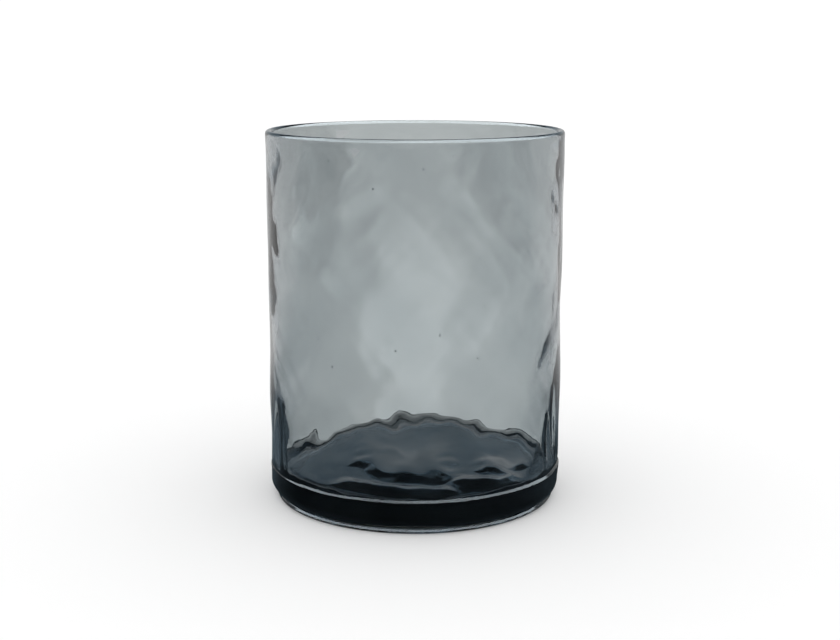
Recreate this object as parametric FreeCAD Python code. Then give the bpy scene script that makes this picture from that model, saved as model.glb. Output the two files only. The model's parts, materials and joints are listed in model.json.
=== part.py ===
"""Smoked-glass cylinder vase with a heavy base.

The real vase is one piece of moulded and fire-polished glass. It is modelled as the four
zones that a glassmaker names, each a closed solid that meets its neighbours face to face:
foot ring, base disc, side wall and rim bead. Each zone is one revolved section.

Millimetres, +Z up. The origin is on the table, at the centre of the foot.
"""

import FreeCAD
import Part
import math
import os

from FreeCAD import Vector

# Driving dimensions
OUTER_DIAMETER = 120.0
HEIGHT = 150.0
WALL = 3.0  # thickness of the side wall
FLOOR_HEIGHT = 12.0  # table to the inside floor, beside the wall
FLOOR_DOME = 0.8  # how far the middle of the inside floor stands up
FLOOR_CORNER = 4.0  # radius where the floor turns up into the wall
UNDERSIDE_DOME = 0.4  # how far the middle of the underside is pushed up
HEEL_RADIUS = 4.5  # rounding where the outside turns in to the foot
FOOT_HEIGHT = 1.8
FOOT_DIAMETER = 115.2
FOOT_LAND = 2.6  # width of the flat that bears on the table
FOOT_BOTTOM_EDGE = 0.4  # rounding at the table
FOOT_TOP_EDGE = 1.3  # rounding in the groove under the heel
FOOT_INNER_SLOPE = 2.5  # how far the foot's inner side leans in, over its height
RIM_STRAIGHT = 1.5  # straight part of the rim bead, below its rounding

# Worked out from them
OUTER_RADIUS = OUTER_DIAMETER / 2
INNER_RADIUS = OUTER_RADIUS - WALL
RIM_ROUND = WALL / 2
RIM_ROUND_Z = HEIGHT - RIM_ROUND
RIM_Z = RIM_ROUND_Z - RIM_STRAIGHT
WALL_Z = FLOOR_HEIGHT + FLOOR_CORNER
HEEL_Z = FOOT_HEIGHT + HEEL_RADIUS
HEEL_INSIDE = OUTER_RADIUS - HEEL_RADIUS
FLOOR_RADIUS = INNER_RADIUS - FLOOR_CORNER
FOOT_RADIUS = FOOT_DIAMETER / 2
LAND_OUTSIDE = FOOT_RADIUS - FOOT_BOTTOM_EDGE
LAND_INSIDE = LAND_OUTSIDE - FOOT_LAND
UNDERSIDE_RADIUS = LAND_INSIDE - FOOT_INNER_SLOPE

AXIS_FOOT = Vector(0, 0, 0)
AXIS = Vector(0, 0, 1)


def at(radius, height):
    """A point of a section, in the XZ plane."""
    return Vector(radius, 0, height)


def line(start, end):
    return Part.LineSegment(at(*start), at(*end))


def round_edge(centre, radius, start_deg, end_deg):
    """An arc of the given radius, from one angle to another, seen along +Y."""
    middle_deg = (start_deg + end_deg) / 2
    points = []
    for angle_deg in (start_deg, middle_deg, end_deg):
        angle = math.radians(angle_deg)
        points.append(at(centre[0] + radius * math.cos(angle), centre[1] + radius * math.sin(angle)))
    return Part.Arc(*points)


def dome(edge_radius, edge_height, rise):
    """A shallow arc from (edge_radius, edge_height) up to the axis, where it is level."""
    sphere_radius = (edge_radius**2 + rise**2) / (2 * rise)
    centre_height = edge_height + rise - sphere_radius
    half_radius = edge_radius / 2
    half_height = centre_height + math.sqrt(sphere_radius**2 - half_radius**2)
    return Part.Arc(at(edge_radius, edge_height), at(half_radius, half_height), at(0, edge_height + rise))


def revolved(outline):
    """The solid that a closed outline of a section sweeps in a full turn about the axis."""
    edges = Part.sortEdges([piece.toShape() for piece in outline])[0]
    section = Part.Face(Part.Wire(edges))
    return section.revolve(AXIS_FOOT, AXIS, 360)


def foot_ring():
    """The ring that the vase stands on, with a flat land and a rounded outer edge."""
    bottom_centre = (LAND_OUTSIDE, FOOT_BOTTOM_EDGE)
    top_centre = (FOOT_RADIUS - FOOT_TOP_EDGE, FOOT_HEIGHT - FOOT_TOP_EDGE)
    top_outside = (top_centre[0], FOOT_HEIGHT)
    top_inside = (UNDERSIDE_RADIUS, FOOT_HEIGHT)
    return revolved(
        [
            line((LAND_INSIDE, 0), (LAND_OUTSIDE, 0)),
            round_edge(bottom_centre, FOOT_BOTTOM_EDGE, -90, 0),
            line((FOOT_RADIUS, FOOT_BOTTOM_EDGE), (FOOT_RADIUS, top_centre[1])),
            round_edge(top_centre, FOOT_TOP_EDGE, 0, 90),
            line(top_outside, top_inside),
            line(top_inside, (LAND_INSIDE, 0)),
        ]
    )


def base_disc():
    """The thick bottom: pushed-up underside, rounded heel, domed floor and the corner into the wall."""
    return revolved(
        [
            dome(UNDERSIDE_RADIUS, FOOT_HEIGHT, UNDERSIDE_DOME),
            line((UNDERSIDE_RADIUS, FOOT_HEIGHT), (HEEL_INSIDE, FOOT_HEIGHT)),
            round_edge((HEEL_INSIDE, HEEL_Z), HEEL_RADIUS, -90, 0),
            line((OUTER_RADIUS, HEEL_Z), (OUTER_RADIUS, WALL_Z)),
            line((OUTER_RADIUS, WALL_Z), (INNER_RADIUS, WALL_Z)),
            round_edge((FLOOR_RADIUS, WALL_Z), FLOOR_CORNER, 0, -90),
            dome(FLOOR_RADIUS, FLOOR_HEIGHT, FLOOR_DOME),
            line((0, FLOOR_HEIGHT + FLOOR_DOME), (0, FOOT_HEIGHT + UNDERSIDE_DOME)),
        ]
    )


def side_wall():
    """The straight tube between the base and the rim."""
    return revolved(
        [
            line((INNER_RADIUS, WALL_Z), (OUTER_RADIUS, WALL_Z)),
            line((OUTER_RADIUS, WALL_Z), (OUTER_RADIUS, RIM_Z)),
            line((OUTER_RADIUS, RIM_Z), (INNER_RADIUS, RIM_Z)),
            line((INNER_RADIUS, RIM_Z), (INNER_RADIUS, WALL_Z)),
        ]
    )


def rim_bead():
    """The fire-polished lip, fully rounded on top."""
    round_centre = (INNER_RADIUS + RIM_ROUND, RIM_ROUND_Z)
    return revolved(
        [
            line((INNER_RADIUS, RIM_Z), (OUTER_RADIUS, RIM_Z)),
            line((OUTER_RADIUS, RIM_Z), (OUTER_RADIUS, RIM_ROUND_Z)),
            round_edge(round_centre, RIM_ROUND, 0, 90),
            round_edge(round_centre, RIM_ROUND, 90, 180),
            line((INNER_RADIUS, RIM_ROUND_Z), (INNER_RADIUS, RIM_Z)),
        ]
    )


NODES = {
    "foot_ring": foot_ring,
    "base_disc": base_disc,
    "side_wall": side_wall,
    "rim_bead": rim_bead,
}

os.makedirs("parts", exist_ok=True)
for name, make in NODES.items():
    solid = make()
    solid.exportStep(f"parts/{name}.step")
    print(name, "valid", solid.isValid(), "type", solid.ShapeType, "volume_cm3", round(solid.Volume / 1000, 2))
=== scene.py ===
import json
import math

import bpy
import numpy as np
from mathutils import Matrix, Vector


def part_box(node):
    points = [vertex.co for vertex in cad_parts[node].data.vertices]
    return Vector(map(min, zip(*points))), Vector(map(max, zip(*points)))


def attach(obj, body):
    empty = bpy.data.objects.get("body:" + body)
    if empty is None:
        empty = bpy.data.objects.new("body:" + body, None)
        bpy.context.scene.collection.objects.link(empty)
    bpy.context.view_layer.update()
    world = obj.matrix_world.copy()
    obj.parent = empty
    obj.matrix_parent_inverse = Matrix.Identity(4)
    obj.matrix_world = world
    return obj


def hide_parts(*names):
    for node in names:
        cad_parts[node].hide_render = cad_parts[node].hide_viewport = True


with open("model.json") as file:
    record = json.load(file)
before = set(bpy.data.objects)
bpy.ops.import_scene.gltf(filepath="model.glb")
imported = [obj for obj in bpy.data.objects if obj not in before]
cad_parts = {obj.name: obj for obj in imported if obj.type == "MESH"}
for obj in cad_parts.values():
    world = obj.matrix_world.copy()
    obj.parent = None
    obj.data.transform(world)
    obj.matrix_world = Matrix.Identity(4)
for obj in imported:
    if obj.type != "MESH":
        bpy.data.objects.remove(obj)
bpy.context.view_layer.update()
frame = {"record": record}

MM = 0.001
FULL_TURN = 2 * math.pi

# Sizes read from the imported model, in metres
WALL_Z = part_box("side_wall")[0].z
FOOT_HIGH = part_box("foot_ring")[1]
RIM_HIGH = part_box("rim_bead")[1]
OUTER_RADIUS = RIM_HIGH.x
HEIGHT = RIM_HIGH.z
MOUTH = next(mount for mount in frame["record"]["mounts"] if mount["name"] == "mouth")
INNER_RADIUS = MOUTH["dims"]["r_mm"] * MM
WALL = OUTER_RADIUS - INNER_RADIUS
WALL_MIDDLE = (OUTER_RADIUS + INNER_RADIUS) / 2
ROUNDING_Z = HEIGHT - WALL / 2  # where the rim's rounding begins
FOOT_RADIUS = FOOT_HIGH.x
FOOT_HEIGHT = FOOT_HIGH.z

# The design's sizes for the base
FLOOR_CORNER = 4.0 * MM
FLOOR_HEIGHT = WALL_Z - FLOOR_CORNER
HEEL_RADIUS = 4.5 * MM
FOOT_LAND = 2.6 * MM
FOOT_BOTTOM_EDGE = 0.4 * MM
FOOT_INNER_SLOPE = 2.5 * MM
UNDERSIDE_DOME = 0.4 * MM

# The foot's upper face leans in between two heights, and is rounded off above them
FOOT_LEAN_DEG = 31
FOOT_LEAN_LOW = 0.70 * MM
FOOT_LEAN_HIGH = 1.50 * MM

# The underside is flat out to one radius from the middle, and again this near the foot's outside
DOME_TOP_RADIUS = 10 * MM
DOME_EDGE_INSET = 8 * MM

# The step left where the two halves of the mould met, round the outside of the base. The glass
# swells out slowly below it, and is straight again a little above it
SHOULDER_LOW = 13.1 * MM
SHOULDER_HIGH = 14.0 * MM
SHOULDER_OUT = 0.46 * MM
SHOULDER_IN = 0.32 * MM
SHOULDER_SWELL_LOW = 6 * MM
SHOULDER_RETURN = 3 * MM

# How finely the skin is meshed
SPOKES = 360
ARC_STEP = 0.5 * MM
FLAT_STEP = 1.0 * MM
FOOT_EDGE_STEP = 0.2 * MM
FOOT_TOP_STEP = 0.15 * MM
BELOW_SHOULDER_STEP = 1.2 * MM
SHOULDER_STEP = 0.12 * MM
SHOULDER_FINE_BELOW = 0.6 * MM
SHOULDER_FINE_ABOVE = 0.4 * MM
ABOVE_SHOULDER_STEP = 0.7 * MM
WALL_STEP = 2.6 * MM
RIM_STEP = 0.3 * MM
CORNER_RINGS = 14
DISC_STEP = 1.2 * MM
UNDERSIDE_STEP = 3.5 * MM

# What each set of random draws starts from
CORNER_DRAWS = 3
FLOOR_DRAWS = 5
WALL_DRAWS = 7
BUBBLE_DRAWS = 11


def arc(centre, radius, start_deg, end_deg, step=ARC_STEP):
    """Points along an arc of the section, its first point left out."""
    count = max(2, math.ceil(abs(math.radians(end_deg - start_deg)) * radius / step))
    angles = np.radians(np.linspace(start_deg, end_deg, count + 1)[1:])
    return [(centre[0] + radius * math.cos(a), centre[1] + radius * math.sin(a)) for a in angles]


def run(start, end, step):
    """Points along a straight stretch of the section, its first point left out."""
    count = max(1, math.ceil(math.dist(start, end) / step))
    shares = np.linspace(0, 1, count + 1)[1:]
    return [(start[0] + (end[0] - start[0]) * s, start[1] + (end[1] - start[1]) * s) for s in shares]


def smooth(low, high, value):
    """0 up to low, 1 from high, and an even curve between them."""
    share = np.clip((value - low) / (high - low), 0, 1)
    return share * share * (3 - 2 * share)


def turned_from(angle, middle):
    """How far round each angle is from the middle one, up to half a turn either way."""
    return (angle - middle + math.pi) % FULL_TURN - math.pi


def outside_section():
    """The outline of the glass from the middle of the underside, round the foot, up and over the rim."""
    land_outside = FOOT_RADIUS - FOOT_BOTTOM_EDGE
    land_inside = land_outside - FOOT_LAND
    underside_edge = land_inside - FOOT_INNER_SLOPE
    points = [(DISC_STEP, FOOT_HEIGHT)]
    points += run(points[-1], (underside_edge, FOOT_HEIGHT), UNDERSIDE_STEP)
    points += run(points[-1], (land_inside, 0), FLAT_STEP)
    points += run(points[-1], (land_outside, 0), FLAT_STEP)
    points += arc((land_outside, FOOT_BOTTOM_EDGE), FOOT_BOTTOM_EDGE, -90, 0, FOOT_EDGE_STEP)
    points += run(points[-1], (FOOT_RADIUS, FOOT_LEAN_LOW), ARC_STEP)

    lean = math.radians(FOOT_LEAN_DEG)
    lean_in = (FOOT_LEAN_HIGH - FOOT_LEAN_LOW) * math.tan(lean)
    lean_top = (FOOT_RADIUS - lean_in, FOOT_LEAN_HIGH)
    points += run(points[-1], lean_top, FOOT_EDGE_STEP)
    edge_radius = (FOOT_HEIGHT - FOOT_LEAN_HIGH) / (1 - math.sin(lean))
    edge_centre = (lean_top[0] - edge_radius * math.cos(lean), lean_top[1] - edge_radius * math.sin(lean))
    points += arc(edge_centre, edge_radius, FOOT_LEAN_DEG, 90, FOOT_TOP_STEP)

    heel_centre = (OUTER_RADIUS - HEEL_RADIUS, FOOT_HEIGHT + HEEL_RADIUS)
    points += run(points[-1], (heel_centre[0], FOOT_HEIGHT), ARC_STEP)
    points += arc(heel_centre, HEEL_RADIUS, -90, 0)
    fine_low, fine_high = SHOULDER_LOW - SHOULDER_FINE_BELOW, SHOULDER_HIGH + SHOULDER_FINE_ABOVE
    points += run(points[-1], (OUTER_RADIUS, fine_low), BELOW_SHOULDER_STEP)
    points += run(points[-1], (OUTER_RADIUS, fine_high), SHOULDER_STEP)
    points += run(points[-1], (OUTER_RADIUS, SHOULDER_HIGH + SHOULDER_RETURN), ABOVE_SHOULDER_STEP)
    points += run(points[-1], (OUTER_RADIUS, ROUNDING_Z), WALL_STEP)
    points += arc((WALL_MIDDLE, ROUNDING_Z), WALL / 2, 0, 180, RIM_STEP)
    return np.array(points)


def inside_section(corner):
    """Radius and height of the inside at each spoke, from the rim down to the middle of the floor."""
    wall_share = np.linspace(0, 1, math.ceil((ROUNDING_Z - WALL_Z) / WALL_STEP) + 1)[1:, None]
    wall_height = ROUNDING_Z + (FLOOR_HEIGHT + corner - ROUNDING_Z) * wall_share
    wall_radius = np.full_like(wall_height, INNER_RADIUS)
    turn = np.linspace(0, math.pi / 2, CORNER_RINGS + 1)[1:, None]
    arc_radius = INNER_RADIUS - corner * (1 - np.cos(turn))
    arc_height = FLOOR_HEIGHT + corner * (1 - np.sin(turn))
    floor_edge = INNER_RADIUS - corner
    floor_share = np.linspace(0, 1, math.ceil(INNER_RADIUS / DISC_STEP))[1:, None]
    floor_radius = floor_edge + (DISC_STEP - floor_edge) * floor_share
    floor_height = np.full_like(floor_radius, FLOOR_HEIGHT)
    return (
        np.concatenate([wall_radius, arc_radius, floor_radius]),
        np.concatenate([wall_height, arc_height, floor_height]),
    )


# The corner where the inside floor turns up into the wall is uneven, as glass that was pushed there.
# Where it swells or draws in at the back: degrees right of the back, then millimetres: how wide, and
# how much larger it is there
CORNER_SIZE = 3.9 * MM
CORNER_LIMITS = (1.6 * MM, 9 * MM)
BACK_LOBES = (
    (0, 70, -1.3),
    (-63, 13, -0.9),
    (66, 13, -0.9),
    (-35, 5, -0.5),
    (-24, 5, 0.8),
    (-3, 5, 1.4),
    (9, 5, 0.8),
    (24, 7, 1.2),
    (40, 8, -0.5),
)

# The lobes round the rest of it are random: about where, how far they may move, width and rise
MORE_LOBES_DEG = range(82, 280, 14)
MORE_LOBES_SHIFT_DEG = 10
MORE_LOBES_WIDTH = (5 * MM, 11 * MM)
MORE_LOBES_RISE = (-1.6 * MM, 1.6 * MM)


def corner_sizes(turn):
    """How far the floor's corner reaches in and up, at each spoke."""
    rng = np.random.default_rng(CORNER_DRAWS)
    lobes = [(math.radians(90 - away), wide * MM, rise * MM) for away, wide, rise in BACK_LOBES]
    for away in MORE_LOBES_DEG:
        middle = math.radians(90 - away - rng.uniform(0, MORE_LOBES_SHIFT_DEG))
        lobes.append((middle, rng.uniform(*MORE_LOBES_WIDTH), rng.uniform(*MORE_LOBES_RISE)))
    size = np.full_like(turn, CORNER_SIZE)
    for middle, wide, rise in lobes:
        size = size + rise * np.exp(-((turned_from(turn, middle) * INNER_RADIUS / wide) ** 4))
    return np.clip(size, *CORNER_LIMITS)


# The hammered wall: round hollows and slow swells on both faces. A swell's turns are how many times
# it rises round the wall, from the first number up to below the second, and its length is from crest
# to crest up the wall
OUTSIDE_DIMPLES = dict(count=150, depth=(0.05 * MM, 0.30 * MM), width=(4 * MM, 11 * MM))
OUTSIDE_SWELLS = dict(count=12, size=0.13 * MM, turns=(4, 12), length=(30 * MM, 80 * MM))
INSIDE_DIMPLES = dict(count=170, depth=(-0.20 * MM, 0.30 * MM), width=(5 * MM, 13 * MM))
INSIDE_SWELLS = dict(count=16, size=0.15 * MM, turns=(4, 15), length=(22 * MM, 60 * MM))
FINE_SWELLS = dict(count=24, size=0.07 * MM, turns=(10, 40), length=(9 * MM, 26 * MM))
DIMPLE_STRETCH = (0.9, 2.2)  # how many times taller than wide

# How far from a face, or from the rim, the relief begins to change, and where the change ends
OUTSIDE_FADE = (3 * MM, 0.2 * MM)
INSIDE_FADE = (2 * MM, 0)
FLOOR_FADE = (7 * MM, 1 * MM)
RIM_FADE = (6 * MM, 1 * MM)
RIM_CALM = 0.8  # the share of the wall's relief that is melted away at the rim

# How near a face a corner of the skin is counted as being on it
NEAR_OUTSIDE = 1 * MM
NEAR_UNDERSIDE = 0.1 * MM

# Cords that run up the inside of the wall: degrees right of the front, then millimetres: middle,
# reach up and down, width, and how far each stands in
WALL_CORDS = (
    (70, 36, 9, 2.0, 1.5),
    (64, 29, 8, 1.8, 1.3),
    (82, 28, 15, 2.2, 0.9),
    (-84, 58, 16, 3.0, 1.0),
    (-80, 40, 16, 3.5, 1.2),
    (-69, 25, 14, 2.6, 2.3),
    (-80, 118, 14, 2.5, 0.4),
    (79, 112, 20, 2.5, 0.4),
)


def dimples(rng, angle, height, count, depth, width):
    """A field of shallow round hollows over the wall: metres of depth at each angle and height."""
    field = np.zeros_like(angle)
    for _ in range(count):
        at_angle = rng.uniform(-math.pi, math.pi)
        at_height = rng.uniform(0, HEIGHT)
        deep = rng.uniform(*depth)
        across = rng.uniform(*width)
        up = across * rng.uniform(*DIMPLE_STRETCH)
        beside = turned_from(angle, at_angle) * OUTER_RADIUS / across
        field += deep * np.exp(-(beside**2) - ((height - at_height) / up) ** 2)
    return field


def swells(rng, angle, height, count, size, turns, length):
    """Slow swells over a wall, the same after a full turn: metres out at each angle and height."""
    field = np.zeros_like(angle)
    for _ in range(count):
        rises = rng.integers(*turns)
        up = rng.choice((-1, 1)) * FULL_TURN / rng.uniform(*length)
        field += np.sin(rises * angle + up * height + rng.uniform(0, FULL_TURN))
    return field * size / math.sqrt(count)


def cords(angle, height):
    """How far the cords stand in from the inside of the wall: metres at each angle and height."""
    field = np.zeros_like(angle)
    for bearing, middle, reach, width, rise in WALL_CORDS:
        across = turned_from(angle, math.radians(bearing - 90)) * INNER_RADIUS / (width * MM)
        up = (height - middle * MM) / (reach * MM)
        field += rise * MM * np.exp(-(across**2) - up**4)
    return field


# The mould's step isn't level, and it isn't as large everywhere: its scale is an even part, a part
# that is largest on one side, and random swells. The swells' lengths have no effect at one height
SHOULDER_LEVEL = dict(count=5, size=0.16 * MM, turns=(2, 9), length=(30 * MM, 90 * MM))
SHOULDER_SCALE = 0.62
SHOULDER_SCALE_SIDE = 0.40
SHOULDER_SIDE = math.radians(-50)
SHOULDER_SCALE_SWELLS = dict(count=6, size=0.12, turns=(4, 14), length=(1, 2))
SHOULDER_SCALE_LEAST = 0.35

# A fine groove in the step, deepest a little right of the front
GROOVE_DEPTH = 0.05 * MM
GROOVE_RISE = 0.3 * MM
GROOVE_WIDTH = 0.12 * MM
GROOVE_SIDE = math.radians(-75)


def shoulder(rng, angle, height):
    """How far the outside stands out at a height: a slow swell, the step, and a slow return."""
    level = swells(rng, angle, 0 * height, **SHOULDER_LEVEL)
    scale = SHOULDER_SCALE + SHOULDER_SCALE_SIDE * np.cos(angle - SHOULDER_SIDE)
    scale = scale + swells(rng, angle, 0 * height, **SHOULDER_SCALE_SWELLS)
    scale = np.maximum(scale, SHOULDER_SCALE_LEAST)
    height = SHOULDER_LOW + (height + level - SHOULDER_LOW) / scale
    swell = SHOULDER_OUT * smooth(SHOULDER_SWELL_LOW, SHOULDER_LOW, height)
    step_share = np.clip((height - SHOULDER_LOW) / (SHOULDER_HIGH - SHOULDER_LOW), 0, 1)
    step = (SHOULDER_OUT + SHOULDER_IN) * step_share
    groove_off = (height - (SHOULDER_LOW + GROOVE_RISE)) / GROOVE_WIDTH
    groove = GROOVE_DEPTH * np.exp(-(groove_off**2)) * smooth(0.0, 1.0, np.cos(angle - GROOVE_SIDE))
    back = SHOULDER_IN * smooth(SHOULDER_HIGH, SHOULDER_HIGH + SHOULDER_RETURN, height)
    return (swell - step + back - groove) * scale


# The inside floor: a low dome, long ripples, and a lip near the wall on both sides of the front
FLOOR_DOME = 0.8 * MM
FLOOR_WAVES = dict(count=9, size=0.04 * MM, length=(18 * MM, 36 * MM))
LIP_RISE = 0.6 * MM
LIP_RADII = (45 * MM, 54 * MM)
LIP_BEGINS_DEG = (42, 58)
LIP_ENDS_DEG = (80, 105)

# Low steps in it, each facing the front: its slope, how many millimetres the floor takes to come
# down again behind it, then its course from left to right: places (x, y), and the step's depth there
# from front to back
FLOOR_STEPS = (
    (
        0.16,
        50,
        (
            (-25, -12, 0),
            (-21, -15, 7),
            (-17, -21, 11),
            (-14, -27, 10),
            (-7, -29, 11),
            (1, -32, 11),
            (10, -30, 12),
            (18, -27, 0),
        ),
    ),
    (
        0.15,
        9,
        (
            (-36, -37, 0),
            (-28, -37, 6),
            (-22, -39, 9),
            (-17, -41, 6),
            (-11, -45, 9),
            (-4, -48, 10),
            (9, -48, 10),
            (21, -46, 0),
        ),
    ),
    (
        0.15,
        11,
        (
            (11, -36, 0),
            (16, -38, 9),
            (20, -42, 14),
            (25, -40, 14),
            (31, -40, 14),
            (37, -37, 12),
            (42, -34, 0),
        ),
    ),
    (0.15, 26, ((24, -18, 0), (29, -20, 9), (33, -25, 13), (37, -28, 12), (42, -27, 0))),
    (0.14, 20, ((36, -13, 0), (41, -12, 6), (44, -12, 6), (48, -14, 0))),
)
STEP_BENDS = dict(count=5, size=0.5 * MM, length=(9 * MM, 20 * MM))
STEP_BLUR_MM = (-2.4, -1.2, 0, 1.2, 2.4)  # a course is the mean of itself moved sideways by these
STEP_LEAST_DEPTH = 0.01 * MM


def waves(rng, x, y, count, size, length):
    """A gently rippled sheet: the sum of a few long waves in random directions."""
    field = np.zeros_like(x)
    for _ in range(count):
        heading = rng.uniform(0, math.pi)
        step = rng.uniform(*length)
        phase = rng.uniform(0, FULL_TURN)
        field += np.sin((x * math.cos(heading) + y * math.sin(heading)) * FULL_TURN / step + phase)
    return field * size / math.sqrt(count)


def floor_step(x, y, slope, back, course):
    """Height of one step of the floor: up over its depth, then down again behind it."""
    east, north, depth = (np.array(values) * MM for values in zip(*course))
    near = [x + shift * MM for shift in STEP_BLUR_MM]
    middle = sum(np.interp(place, east, north) for place in near) / len(near)
    deep = sum(np.interp(place, east, depth) for place in near) / len(near)
    off = y - middle
    front = np.clip(off / np.maximum(deep, STEP_LEAST_DEPTH) + 0.5, 0, 1)
    behind = 1 - smooth(0, back * MM, off - deep / 2)
    return slope * deep * front * behind


def floor_relief(x, y):
    """How far the inside floor stands above its edge."""
    rng = np.random.default_rng(FLOOR_DRAWS)
    radius = np.hypot(x, y)
    relief = FLOOR_DOME * (1 - (radius / INNER_RADIUS) ** 2) + waves(rng, x, y, **FLOOR_WAVES)
    bent_x = x + waves(rng, x, y, **STEP_BENDS)
    bent_y = y + waves(rng, x, y, **STEP_BENDS)
    from_front_deg = np.degrees(np.abs(np.arctan2(x, -y)))
    beside_front = smooth(*LIP_BEGINS_DEG, from_front_deg) * (1 - smooth(*LIP_ENDS_DEG, from_front_deg))
    relief = relief + LIP_RISE * smooth(*LIP_RADII, radius) * beside_front
    for slope, back, course in FLOOR_STEPS:
        relief = relief + floor_step(bent_x, bent_y, slope, back, course)
    return relief


def nearing(edge, fade, value):
    """0 up to fade[0] below the edge, 1 from fade[1] below it, and an even curve between them."""
    return smooth(edge - fade[0], edge - fade[1], value)


def skin():
    """The corners of the vase's skin, ring by ring, and how many rings there are."""
    outline = outside_section()
    turn = np.arange(SPOKES) * FULL_TURN / SPOKES
    inside_radius, inside_height = inside_section(corner_sizes(turn))
    radius = np.concatenate([np.repeat(outline[:, :1], SPOKES, axis=1), inside_radius])
    height = np.concatenate([np.repeat(outline[:, 1:], SPOKES, axis=1), inside_height])
    rings = len(radius)
    angle = np.repeat(turn[None, :], rings, axis=0)
    rim_ring = int(np.argmax(outline[:, 1]))
    outside = (np.arange(rings) < rim_ring)[:, None]

    rng = np.random.default_rng(WALL_DRAWS)
    outer = dimples(rng, angle, height, **OUTSIDE_DIMPLES)
    outer = outer + swells(rng, angle, height, **OUTSIDE_SWELLS)
    inner = dimples(rng, angle, height, **INSIDE_DIMPLES)
    inner = inner + swells(rng, angle, height, **INSIDE_SWELLS)
    inner = inner + swells(rng, angle, height, **FINE_SWELLS) - cords(angle, height)
    below_rim = 1 - nearing(HEIGHT, RIM_FADE, height) * RIM_CALM
    outer_share = nearing(OUTER_RADIUS, OUTSIDE_FADE, radius) * outside * below_rim
    inner_share = nearing(INNER_RADIUS, INSIDE_FADE, radius) * (1 - outside) * below_rim
    radius = radius - outer * outer_share + inner * inner_share
    on_outer_wall = outside * (radius > OUTER_RADIUS - NEAR_OUTSIDE)
    radius = radius + shoulder(rng, angle, height) * on_outer_wall

    x = radius * np.cos(angle)
    y = radius * np.sin(angle)
    floor_share = (1 - nearing(INNER_RADIUS, FLOOR_FADE, radius)) * (1 - outside)
    height = height + floor_relief(x, y) * floor_share
    on_underside = outside * (height < FOOT_HEIGHT + NEAR_UNDERSIDE)
    dome_share = (1 - smooth(DOME_TOP_RADIUS, FOOT_RADIUS - DOME_EDGE_INSET, radius)) * on_underside
    height = height + UNDERSIDE_DOME * dome_share

    corners = np.stack([x, y, height], axis=2).reshape(-1, 3)
    return corners, rings


# Bubbles that show in the front of the wall: degrees right of the front, then height and radius in
# millimetres, and how many times longer than wide each one is
FRONT_BUBBLES = (
    (-15, 132, 0.30, 1.2),
    (-7, 72, 0.32, 1.0),
    (-12, 71, 0.16, 1.0),
    (-32, 64, 0.30, 1.4),
    (9, 78, 0.22, 3.0),
    (24, 106, 0.22, 1.0),
    (26, 88, 0.18, 1.6),
    (-29, 93, 0.18, 1.0),
)

# The others are random, in the wall and in the base
WALL_BUBBLES = 34
WALL_BUBBLE_HEIGHTS = (20 * MM, 142 * MM)
WALL_BUBBLE_RADII = (0.10 * MM, 0.26 * MM)
WALL_BUBBLE_STRETCH = (1, 2.2)
BASE_BUBBLES = 9
BASE_BUBBLE_REACH = (5 * MM, 48 * MM)  # how far from the axis
BASE_BUBBLE_HEIGHTS = (5 * MM, 10 * MM)
BASE_BUBBLE_RADII = (0.25 * MM, 0.55 * MM)
BUBBLE_SIDES = 10
BUBBLE_RINGS = 6


def place_at(turn, reach, height):
    """The place at an angle about the axis, a distance from it and a height."""
    return reach * math.cos(turn), reach * math.sin(turn), height


def bubble_places():
    """Where the small bubbles are, with the half width and half length of each, in metres."""
    rng = np.random.default_rng(BUBBLE_DRAWS)
    for bearing, height, size, long in FRONT_BUBBLES:
        turn = math.radians(bearing - 90)
        yield place_at(turn, WALL_MIDDLE, height * MM), size * MM, size * long * MM
    for _ in range(WALL_BUBBLES):
        turn, height = rng.uniform(-math.pi, math.pi), rng.uniform(*WALL_BUBBLE_HEIGHTS)
        size = rng.uniform(*WALL_BUBBLE_RADII)
        yield place_at(turn, WALL_MIDDLE, height), size, size * rng.uniform(*WALL_BUBBLE_STRETCH)
    for _ in range(BASE_BUBBLES):
        turn, reach = rng.uniform(-math.pi, math.pi), rng.uniform(*BASE_BUBBLE_REACH)
        size = rng.uniform(*BASE_BUBBLE_RADII)
        yield place_at(turn, reach, rng.uniform(*BASE_BUBBLE_HEIGHTS)), size, size


def bubble_skin(place, size, long):
    """Corners and faces of one bubble, facing into it, because the glass is all round it."""
    corners = []
    for ring in range(1, BUBBLE_RINGS):
        rise = math.pi * ring / BUBBLE_RINGS
        for side in range(BUBBLE_SIDES):
            turn = FULL_TURN * side / BUBBLE_SIDES
            corners.append(
                (
                    place[0] + size * math.sin(rise) * math.cos(turn),
                    place[1] + size * math.sin(rise) * math.sin(turn),
                    place[2] + long * math.cos(rise),
                )
            )
    top, bottom = len(corners), len(corners) + 1
    corners += [(place[0], place[1], place[2] + long), (place[0], place[1], place[2] - long)]
    faces = []
    last = (BUBBLE_RINGS - 2) * BUBBLE_SIDES
    for side in range(BUBBLE_SIDES):
        after = (side + 1) % BUBBLE_SIDES
        for start in range(0, last, BUBBLE_SIDES):
            below = start + BUBBLE_SIDES
            faces.append((start + side, start + after, below + after, below + side))
        faces.append((top, after, side))
        faces.append((bottom, last + side, last + after))
    return corners, faces


def ring_faces(rings):
    """The four-sided faces between each ring of corners and the next."""
    faces = []
    for ring in range(rings - 1):
        low, high = ring * SPOKES, (ring + 1) * SPOKES
        for spoke in range(SPOKES):
            after = (spoke + 1) % SPOKES
            faces.append((low + spoke, low + after, high + after, high + spoke))
    return faces


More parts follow.
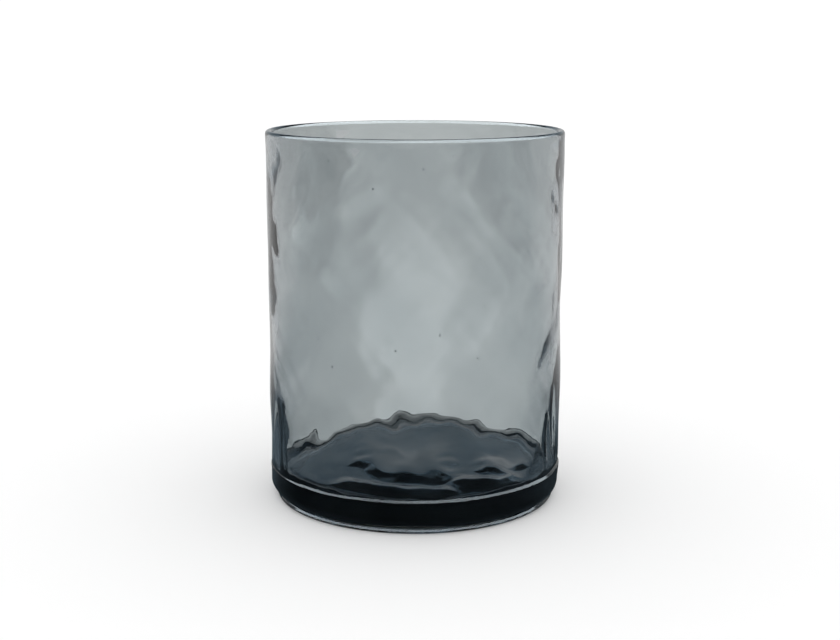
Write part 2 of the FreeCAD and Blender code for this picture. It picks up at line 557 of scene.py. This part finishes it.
def make_vase():
    """The vase as one closed skin of glass, with the bubbles as closed hollows in it."""
    corners, rings = skin()
    faces = ring_faces(rings)
    corners = list(map(tuple, corners))
    last = (rings - 1) * SPOKES
    for ring_start, flipped in ((0, True), (last, False)):
        middle = np.mean(corners[ring_start:ring_start + SPOKES], axis=0)
        corners.append(tuple(middle))
        hub = len(corners) - 1
        for spoke in range(SPOKES):
            a, b = ring_start + spoke, ring_start + (spoke + 1) % SPOKES
            faces.append((b, a, hub) if flipped else (a, b, hub))
    for place, size, long in bubble_places():
        bubble_corners, bubble_faces = bubble_skin(place, size, long)
        start = len(corners)
        corners += bubble_corners
        faces += [tuple(start + corner for corner in face) for face in bubble_faces]
    mesh = bpy.data.meshes.new("vase_glass")
    mesh.from_pydata(corners, [], faces)
    mesh.validate()
    for polygon in mesh.polygons:
        polygon.use_smooth = True
    vase = bpy.data.objects.new("vase_glass", mesh)
    bpy.context.scene.collection.objects.link(vase)
    return vase


class Wiring:
    """Adds nodes to one shader. A value it is given is a plain one or another node's output."""

    def __init__(self, tree):
        self.nodes = tree.nodes
        self.links = tree.links

    def put(self, socket, value):
        """Join a socket to another node's output, or set it to a plain value."""
        if isinstance(value, bpy.types.NodeSocket):
            self.links.new(value, socket)
        else:
            socket.default_value = value

    def arithmetic(self, operation, a, b=0.0, clamp=False):
        """One operation on one or two numbers."""
        node = self.nodes.new("ShaderNodeMath")
        node.operation = operation
        node.use_clamp = clamp
        self.put(node.inputs[0], a)
        self.put(node.inputs[1], b)
        return node.outputs[0]

    def product(self, first, *others):
        """All the values multiplied together."""
        for other in others:
            first = self.arithmetic("MULTIPLY", first, other)
        return first

    def between(self, value, low, high, at_low, at_high, curve="SMOOTHSTEP"):
        """at_low where the value is at low, at_high where it is at high, and a curve between."""
        node = self.nodes.new("ShaderNodeMapRange")
        node.interpolation_type = curve
        self.put(node.inputs["Value"], value)
        self.put(node.inputs["From Min"], low)
        self.put(node.inputs["From Max"], high)
        self.put(node.inputs["To Min"], at_low)
        self.put(node.inputs["To Max"], at_high)
        return node.outputs["Result"]

    def mix(self, kind, share, a, b):
        """a where the share is 0, and b where it is 1."""
        node = self.nodes.new("ShaderNodeMix")
        node.data_type = kind
        self.put(node.inputs["Factor"], share)
        self.put(node.inputs["A"], a)
        self.put(node.inputs["B"], b)
        return node.outputs["Result"]

    def noise(self, place, scale, detail):
        """Cloudy noise, mostly from 0.3 to 0.7."""
        node = self.nodes.new("ShaderNodeTexNoise")
        self.put(node.inputs["Vector"], place)
        self.put(node.inputs["Scale"], scale)
        self.put(node.inputs["Detail"], detail)
        return node.outputs["Fac"]

    def scaled(self, colour, amount):
        """A colour made lighter or darker."""
        node = self.nodes.new("ShaderNodeVectorMath")
        node.operation = "SCALE"
        self.put(node.inputs[0], colour)
        self.put(node.inputs["Scale"], amount)
        return node.outputs["Vector"]

    def length(self, vector):
        """How long a vector is."""
        node = self.nodes.new("ShaderNodeVectorMath")
        node.operation = "LENGTH"
        self.put(node.inputs[0], vector)
        return node.outputs["Value"]

    def split(self, vector):
        """The X, Y and Z of a vector."""
        node = self.nodes.new("ShaderNodeSeparateXYZ")
        self.put(node.inputs["Vector"], vector)
        return node.outputs["X"], node.outputs["Y"], node.outputs["Z"]


GLASS_INDEX = 1.5
GLASS_TINT = (0.0, 0.118, 0.184, 1)  # with the density, how its thickness darkens it
GLASS_DENSITY = 76.0
RIPPLE_SCALE, RIPPLE_DETAIL = 95.0, 3.0
RIPPLE_HEIGHT = 0.06 * MM
HAZE_SCALE, HAZE_DETAIL = 28.0, 4.0
HAZE_BEGINS, HAZE_FULL = 0.52, 0.78  # levels of the noise
HAZE_ROUGHNESS = 0.05


def glass():
    """Smoked glass, with a fine ripple and a few hazy patches on its surface."""
    material = bpy.data.materials.new("smoked_glass")
    material.use_nodes = True
    wiring = Wiring(material.node_tree)
    shader = wiring.nodes["Principled BSDF"]
    shader.inputs["Base Color"].default_value = (1, 1, 1, 1)
    shader.inputs["IOR"].default_value = GLASS_INDEX
    shader.inputs["Transmission Weight"].default_value = 1.0
    place = wiring.nodes.new("ShaderNodeTexCoord").outputs["Object"]
    bump = wiring.nodes.new("ShaderNodeBump")
    bump.inputs["Distance"].default_value = RIPPLE_HEIGHT
    wiring.put(bump.inputs["Height"], wiring.noise(place, RIPPLE_SCALE, RIPPLE_DETAIL))
    wiring.put(shader.inputs["Normal"], bump.outputs["Normal"])
    smears = wiring.noise(place, HAZE_SCALE, HAZE_DETAIL)
    haze = wiring.between(smears, HAZE_BEGINS, HAZE_FULL, 0.0, HAZE_ROUGHNESS, curve="LINEAR")
    wiring.put(shader.inputs["Roughness"], haze)
    tint = wiring.nodes.new("ShaderNodeVolumeAbsorption")
    tint.inputs["Color"].default_value = GLASS_TINT
    tint.inputs["Density"].default_value = GLASS_DENSITY
    wiring.put(wiring.nodes["Material Output"].inputs["Volume"], tint.outputs["Volume"])
    return material


# The stage floor is pale where it is seen directly. Where the glass shows it, it has painted shade and
# light instead of its own colour: a painted shadow under the vase, painted light under the vase's front,
# painted shade towards the sides and farther off, and a painted reflection.
# Each range below is two distances in metres, or two bearings, x over the distance from the axis,
# between which the tone goes from the first of its pair of values to the second
FLOOR_HALF = 6.0
FLOOR_DROP = 0.1 * MM  # keeps it clear of the foot
FLOOR_DIRECT = (0.99, 0.99, 0.99, 1)

# Seen through the glass: painted shade and light
THROUGH_TINT = (0.99, 1.04, 1.03)
# painted shade: seen through the glass, the floor is darker farther from the vase
AWAY_RANGE, AWAY_SHADE = (0.1, 1.3), (0.71, 0.51)
SHADOW_RANGE, SHADOW_TONE = (0.008, 0.04), (0.25, 0.42)  # under the vase, by distance from x = 0
SHADOW_EDGE = (0.07, 0.10)  # by distance from the axis
# painted light: seen through the glass, the floor under the vase's front is lighter
FRONT_RANGE, FRONT_LIGHT = (-0.04, -0.01), (2.2, 1.0)  # by y
LEAST_AWAY = 0.15  # the bearing of anything nearer is worked out as if it were this far off
# painted shade: seen through the glass, the floor is darker towards the left and the right
LEFT_BEARING, LEFT_SHADE = (-0.17, -0.03), (0.77, 1.0)
RIGHT_BEARING, RIGHT_SHADE = (0.04, 0.16), (1.0, 0.87)

# Mirrored in the glass, a painted reflection: dark and streaky near the vase, which is painted shadow,
# and grey behind it
MIRRORED_SHADOW = (0.065, 0.088, 0.105)
STREAK_SCALE, STREAK_DETAIL = 9.0, 3.0
STREAK_LEVELS, STREAK_TONE = (0.35, 0.65), (0.5, 1.5)
MIRRORED_BEHIND = (0.6, 0.6, 0.6, 1)
BEHIND_RANGE = (0.05, 0.25)  # by y
# painted reflection: the foot's face mirrors the floor close by it as pale
CLOSE_BY = 3.6 * MM  # a face seen directly, as the foot's is, mirrors floor nearer than this as pale
MIRRORED_CLOSE = (0.95, 1.0, 1.0, 1)


def floor_through_glass(wiring, x, y, away):
    """The floor's painted shade and light, as it is seen through the glass."""
    bearing = wiring.arithmetic("DIVIDE", x, wiring.arithmetic("MAXIMUM", away, LEAST_AWAY))
    shadow = wiring.between(wiring.arithmetic("ABSOLUTE", x), *SHADOW_RANGE, *SHADOW_TONE)
    outside_share = wiring.between(away, *SHADOW_EDGE, 0.0, 1.0)
    lifted = wiring.product(wiring.arithmetic("SUBTRACT", 1.0, shadow), outside_share)
    tone = wiring.product(
        wiring.between(away, *AWAY_RANGE, *AWAY_SHADE),
        wiring.arithmetic("ADD", shadow, lifted),
        wiring.between(y, *FRONT_RANGE, *FRONT_LIGHT),
        wiring.between(bearing, *LEFT_BEARING, *LEFT_SHADE),
        wiring.between(bearing, *RIGHT_BEARING, *RIGHT_SHADE),
    )
    return wiring.scaled(THROUGH_TINT, tone)


def floor_mirrored(wiring, place, y, path):
    """The floor's painted reflection, as the glass mirrors it, with painted shadow near the vase."""
    streaks = wiring.noise(place, STREAK_SCALE, STREAK_DETAIL)
    near = wiring.scaled(MIRRORED_SHADOW, wiring.between(streaks, *STREAK_LEVELS, *STREAK_TONE))
    behind = wiring.between(y, *BEHIND_RANGE, 0.0, 1.0)
    tone = wiring.mix("RGBA", behind, near, MIRRORED_BEHIND)
    first_bounce = wiring.arithmetic("LESS_THAN", path["Ray Depth"], 1.5)
    near_by = wiring.arithmetic("LESS_THAN", path["Ray Length"], CLOSE_BY)
    return wiring.mix("RGBA", wiring.product(first_bounce, near_by), tone, MIRRORED_CLOSE)


def make_floor():
    """The stage floor, which isn't part of the vase."""
    mesh = bpy.data.meshes.new("floor")
    sides = ((-1, -1), (1, -1), (1, 1), (-1, 1))
    corners = [(FLOOR_HALF * east, FLOOR_HALF * north, -FLOOR_DROP) for east, north in sides]
    mesh.from_pydata(corners, [], [(0, 1, 2, 3)])
    ground = bpy.data.objects.new("floor", mesh)
    bpy.context.scene.collection.objects.link(ground)
    material = bpy.data.materials.new("floor")
    material.use_nodes = True
    wiring = Wiring(material.node_tree)
    shader = wiring.nodes["Principled BSDF"]
    shader.inputs["Roughness"].default_value = 1.0
    shader.inputs["Specular IOR Level"].default_value = 0.0
    place = wiring.nodes.new("ShaderNodeNewGeometry").outputs["Position"]
    x, y, _ = wiring.split(place)
    path = wiring.nodes.new("ShaderNodeLightPath").outputs
    # Only the camera sees the floor's own pale colour; the glass shows it with painted shade, painted
    # light and a painted reflection
    through = floor_through_glass(wiring, x, y, wiring.length(place))
    mirrored = floor_mirrored(wiring, place, y, path)
    reflections = wiring.arithmetic("SUBTRACT", path["Ray Depth"], path["Transmission Depth"])
    is_mirrored = wiring.arithmetic("GREATER_THAN", reflections, 0.5)
    in_glass = wiring.mix("RGBA", is_mirrored, through, mirrored)
    tone = wiring.mix("RGBA", path["Is Camera Ray"], in_glass, FLOOR_DIRECT)
    wiring.put(shader.inputs["Base Color"], tone)
    mesh.materials.append(material)


# The studio lights the stage evenly. The glass shows a room above the floor instead, by the sine of
# the elevation from the horizon up, and a lamp over the front
STUDIO_LIGHT = (1.06, 1.06, 1.06, 1)
ROOM = (
    (0.02, (0.55, 0.56, 0.56, 1)),
    (0.10, (0.55, 0.58, 0.60, 1)),
    (0.20, (0.42, 0.48, 0.52, 1)),
    (0.30, (0.34, 0.42, 0.48, 1)),
    (0.415, (0.20, 0.27, 0.34, 1)),
    (0.425, (0.008, 0.009, 0.01, 1)),
)
LAMP_COLOUR = (0.88, 1.0, 1.08)
OVERHEAD = 0.4  # the lamp's strength where it is seen through glass, or after more than one bounce
OVERHEAD_LOW = (0.80, 0.84)
SOFTBOX = 4.4  # its strength where the first face that is seen mirrors it
SOFTBOX_LOW = (0.44, 0.50)
SOFTBOX_SIDE_DROP = 0.25  # its lower edge is lower at the sides
SOFTBOX_HIGH = (1.0, 0.96)
SOFTBOX_BACK = (0.75, 0.45)
SOFTBOX_LEFT = (0.05, -0.40)
SOFTBOX_LEFT_LOSS = 0.65  # how much of its upper part is lost on the left
SOFTBOX_UPPER = (0.74, 0.86)


def softbox(wiring, x, y, z):
    """Strength of the lamp by direction, where the first face that is seen mirrors it."""
    drop = wiring.product(wiring.arithmetic("ABSOLUTE", x), SOFTBOX_SIDE_DROP)
    left = wiring.between(x, *SOFTBOX_LEFT, 0.0, SOFTBOX_LEFT_LOSS)
    upper = wiring.between(z, *SOFTBOX_UPPER, 0.0, 1.0)
    return wiring.product(
        wiring.between(wiring.arithmetic("ADD", z, drop), *SOFTBOX_LOW, 0.0, 1.0),
        wiring.between(z, *SOFTBOX_HIGH, 0.0, SOFTBOX),
        wiring.between(y, *SOFTBOX_BACK, 0.0, 1.0),
        wiring.arithmetic("SUBTRACT", 1.0, wiring.product(left, upper)),
    )


def make_studio():
    """Even light from all round, with the room and the lamp that the glass shows."""
    studio = bpy.data.worlds.new("studio")
    bpy.context.scene.world = studio
    studio.use_nodes = True
    wiring = Wiring(studio.node_tree)
    path = wiring.nodes.new("ShaderNodeLightPath").outputs
    x, y, z = wiring.split(wiring.nodes.new("ShaderNodeTexCoord").outputs["Generated"])
    ramp = wiring.nodes.new("ShaderNodeValToRGB")
    wiring.put(ramp.inputs["Fac"], z)
    stops = ramp.color_ramp.elements
    stops[0].position, stops[0].color = ROOM[0]
    stops[1].position, stops[1].color = ROOM[-1]
    for position, colour in ROOM[1:-1]:
        stops.new(position).color = colour

    first_bounce = wiring.arithmetic("LESS_THAN", path["Ray Depth"], 2.5)
    off_first_face = wiring.product(path["Is Reflection Ray"], first_bounce)
    overhead = wiring.between(z, *OVERHEAD_LOW, 0.0, OVERHEAD)
    strength = wiring.mix("FLOAT", off_first_face, overhead, softbox(wiring, x, y, z))
    room = wiring.nodes.new("ShaderNodeVectorMath")
    room.operation = "MULTIPLY_ADD"
    wiring.put(room.inputs[0], strength)
    wiring.put(room.inputs[1], LAMP_COLOUR)
    wiring.put(room.inputs[2], ramp.outputs["Color"])
    by_glass = wiring.arithmetic("SUBTRACT", path["Is Glossy Ray"], path["Diffuse Depth"], clamp=True)
    light = wiring.mix("RGBA", by_glass, STUDIO_LIGHT, room.outputs["Vector"])
    wiring.put(wiring.nodes["Background"].inputs["Color"], light)


# The camera is in front of the vase, looking a little down
CAMERA_DISTANCE = 552.8 * MM
CAMERA_HEIGHT = 186.4 * MM
CAMERA_PITCH_DEG = 11.726
CAMERA_LENS_MM = 58.6
CAMERA_SENSOR_MM = 36
CAMERA_SHIFT = 0.006


def make_camera():
    """The camera that the scene is seen from."""
    data = bpy.data.cameras.new("camera")
    data.lens = CAMERA_LENS_MM
    data.sensor_width = CAMERA_SENSOR_MM
    data.shift_x = CAMERA_SHIFT
    eye = bpy.data.objects.new("camera", data)
    bpy.context.scene.collection.objects.link(eye)
    eye.location = (0, -CAMERA_DISTANCE, CAMERA_HEIGHT)
    eye.rotation_euler = (math.radians(90 - CAMERA_PITCH_DEG), 0, 0)
    bpy.context.scene.camera = eye


BOUNCES = 24  # enough for light that is trapped in the base

make_camera()
make_studio()
make_floor()
vase = make_vase()
vase.data.materials.append(glass())
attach(vase, "root")
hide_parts("foot_ring", "base_disc", "side_wall", "rim_bead")

scene = bpy.context.scene
scene.view_settings.view_transform = "Standard"
scene.cycles.max_bounces = BOUNCES
scene.cycles.transmission_bounces = BOUNCES
scene.cycles.glossy_bounces = BOUNCES
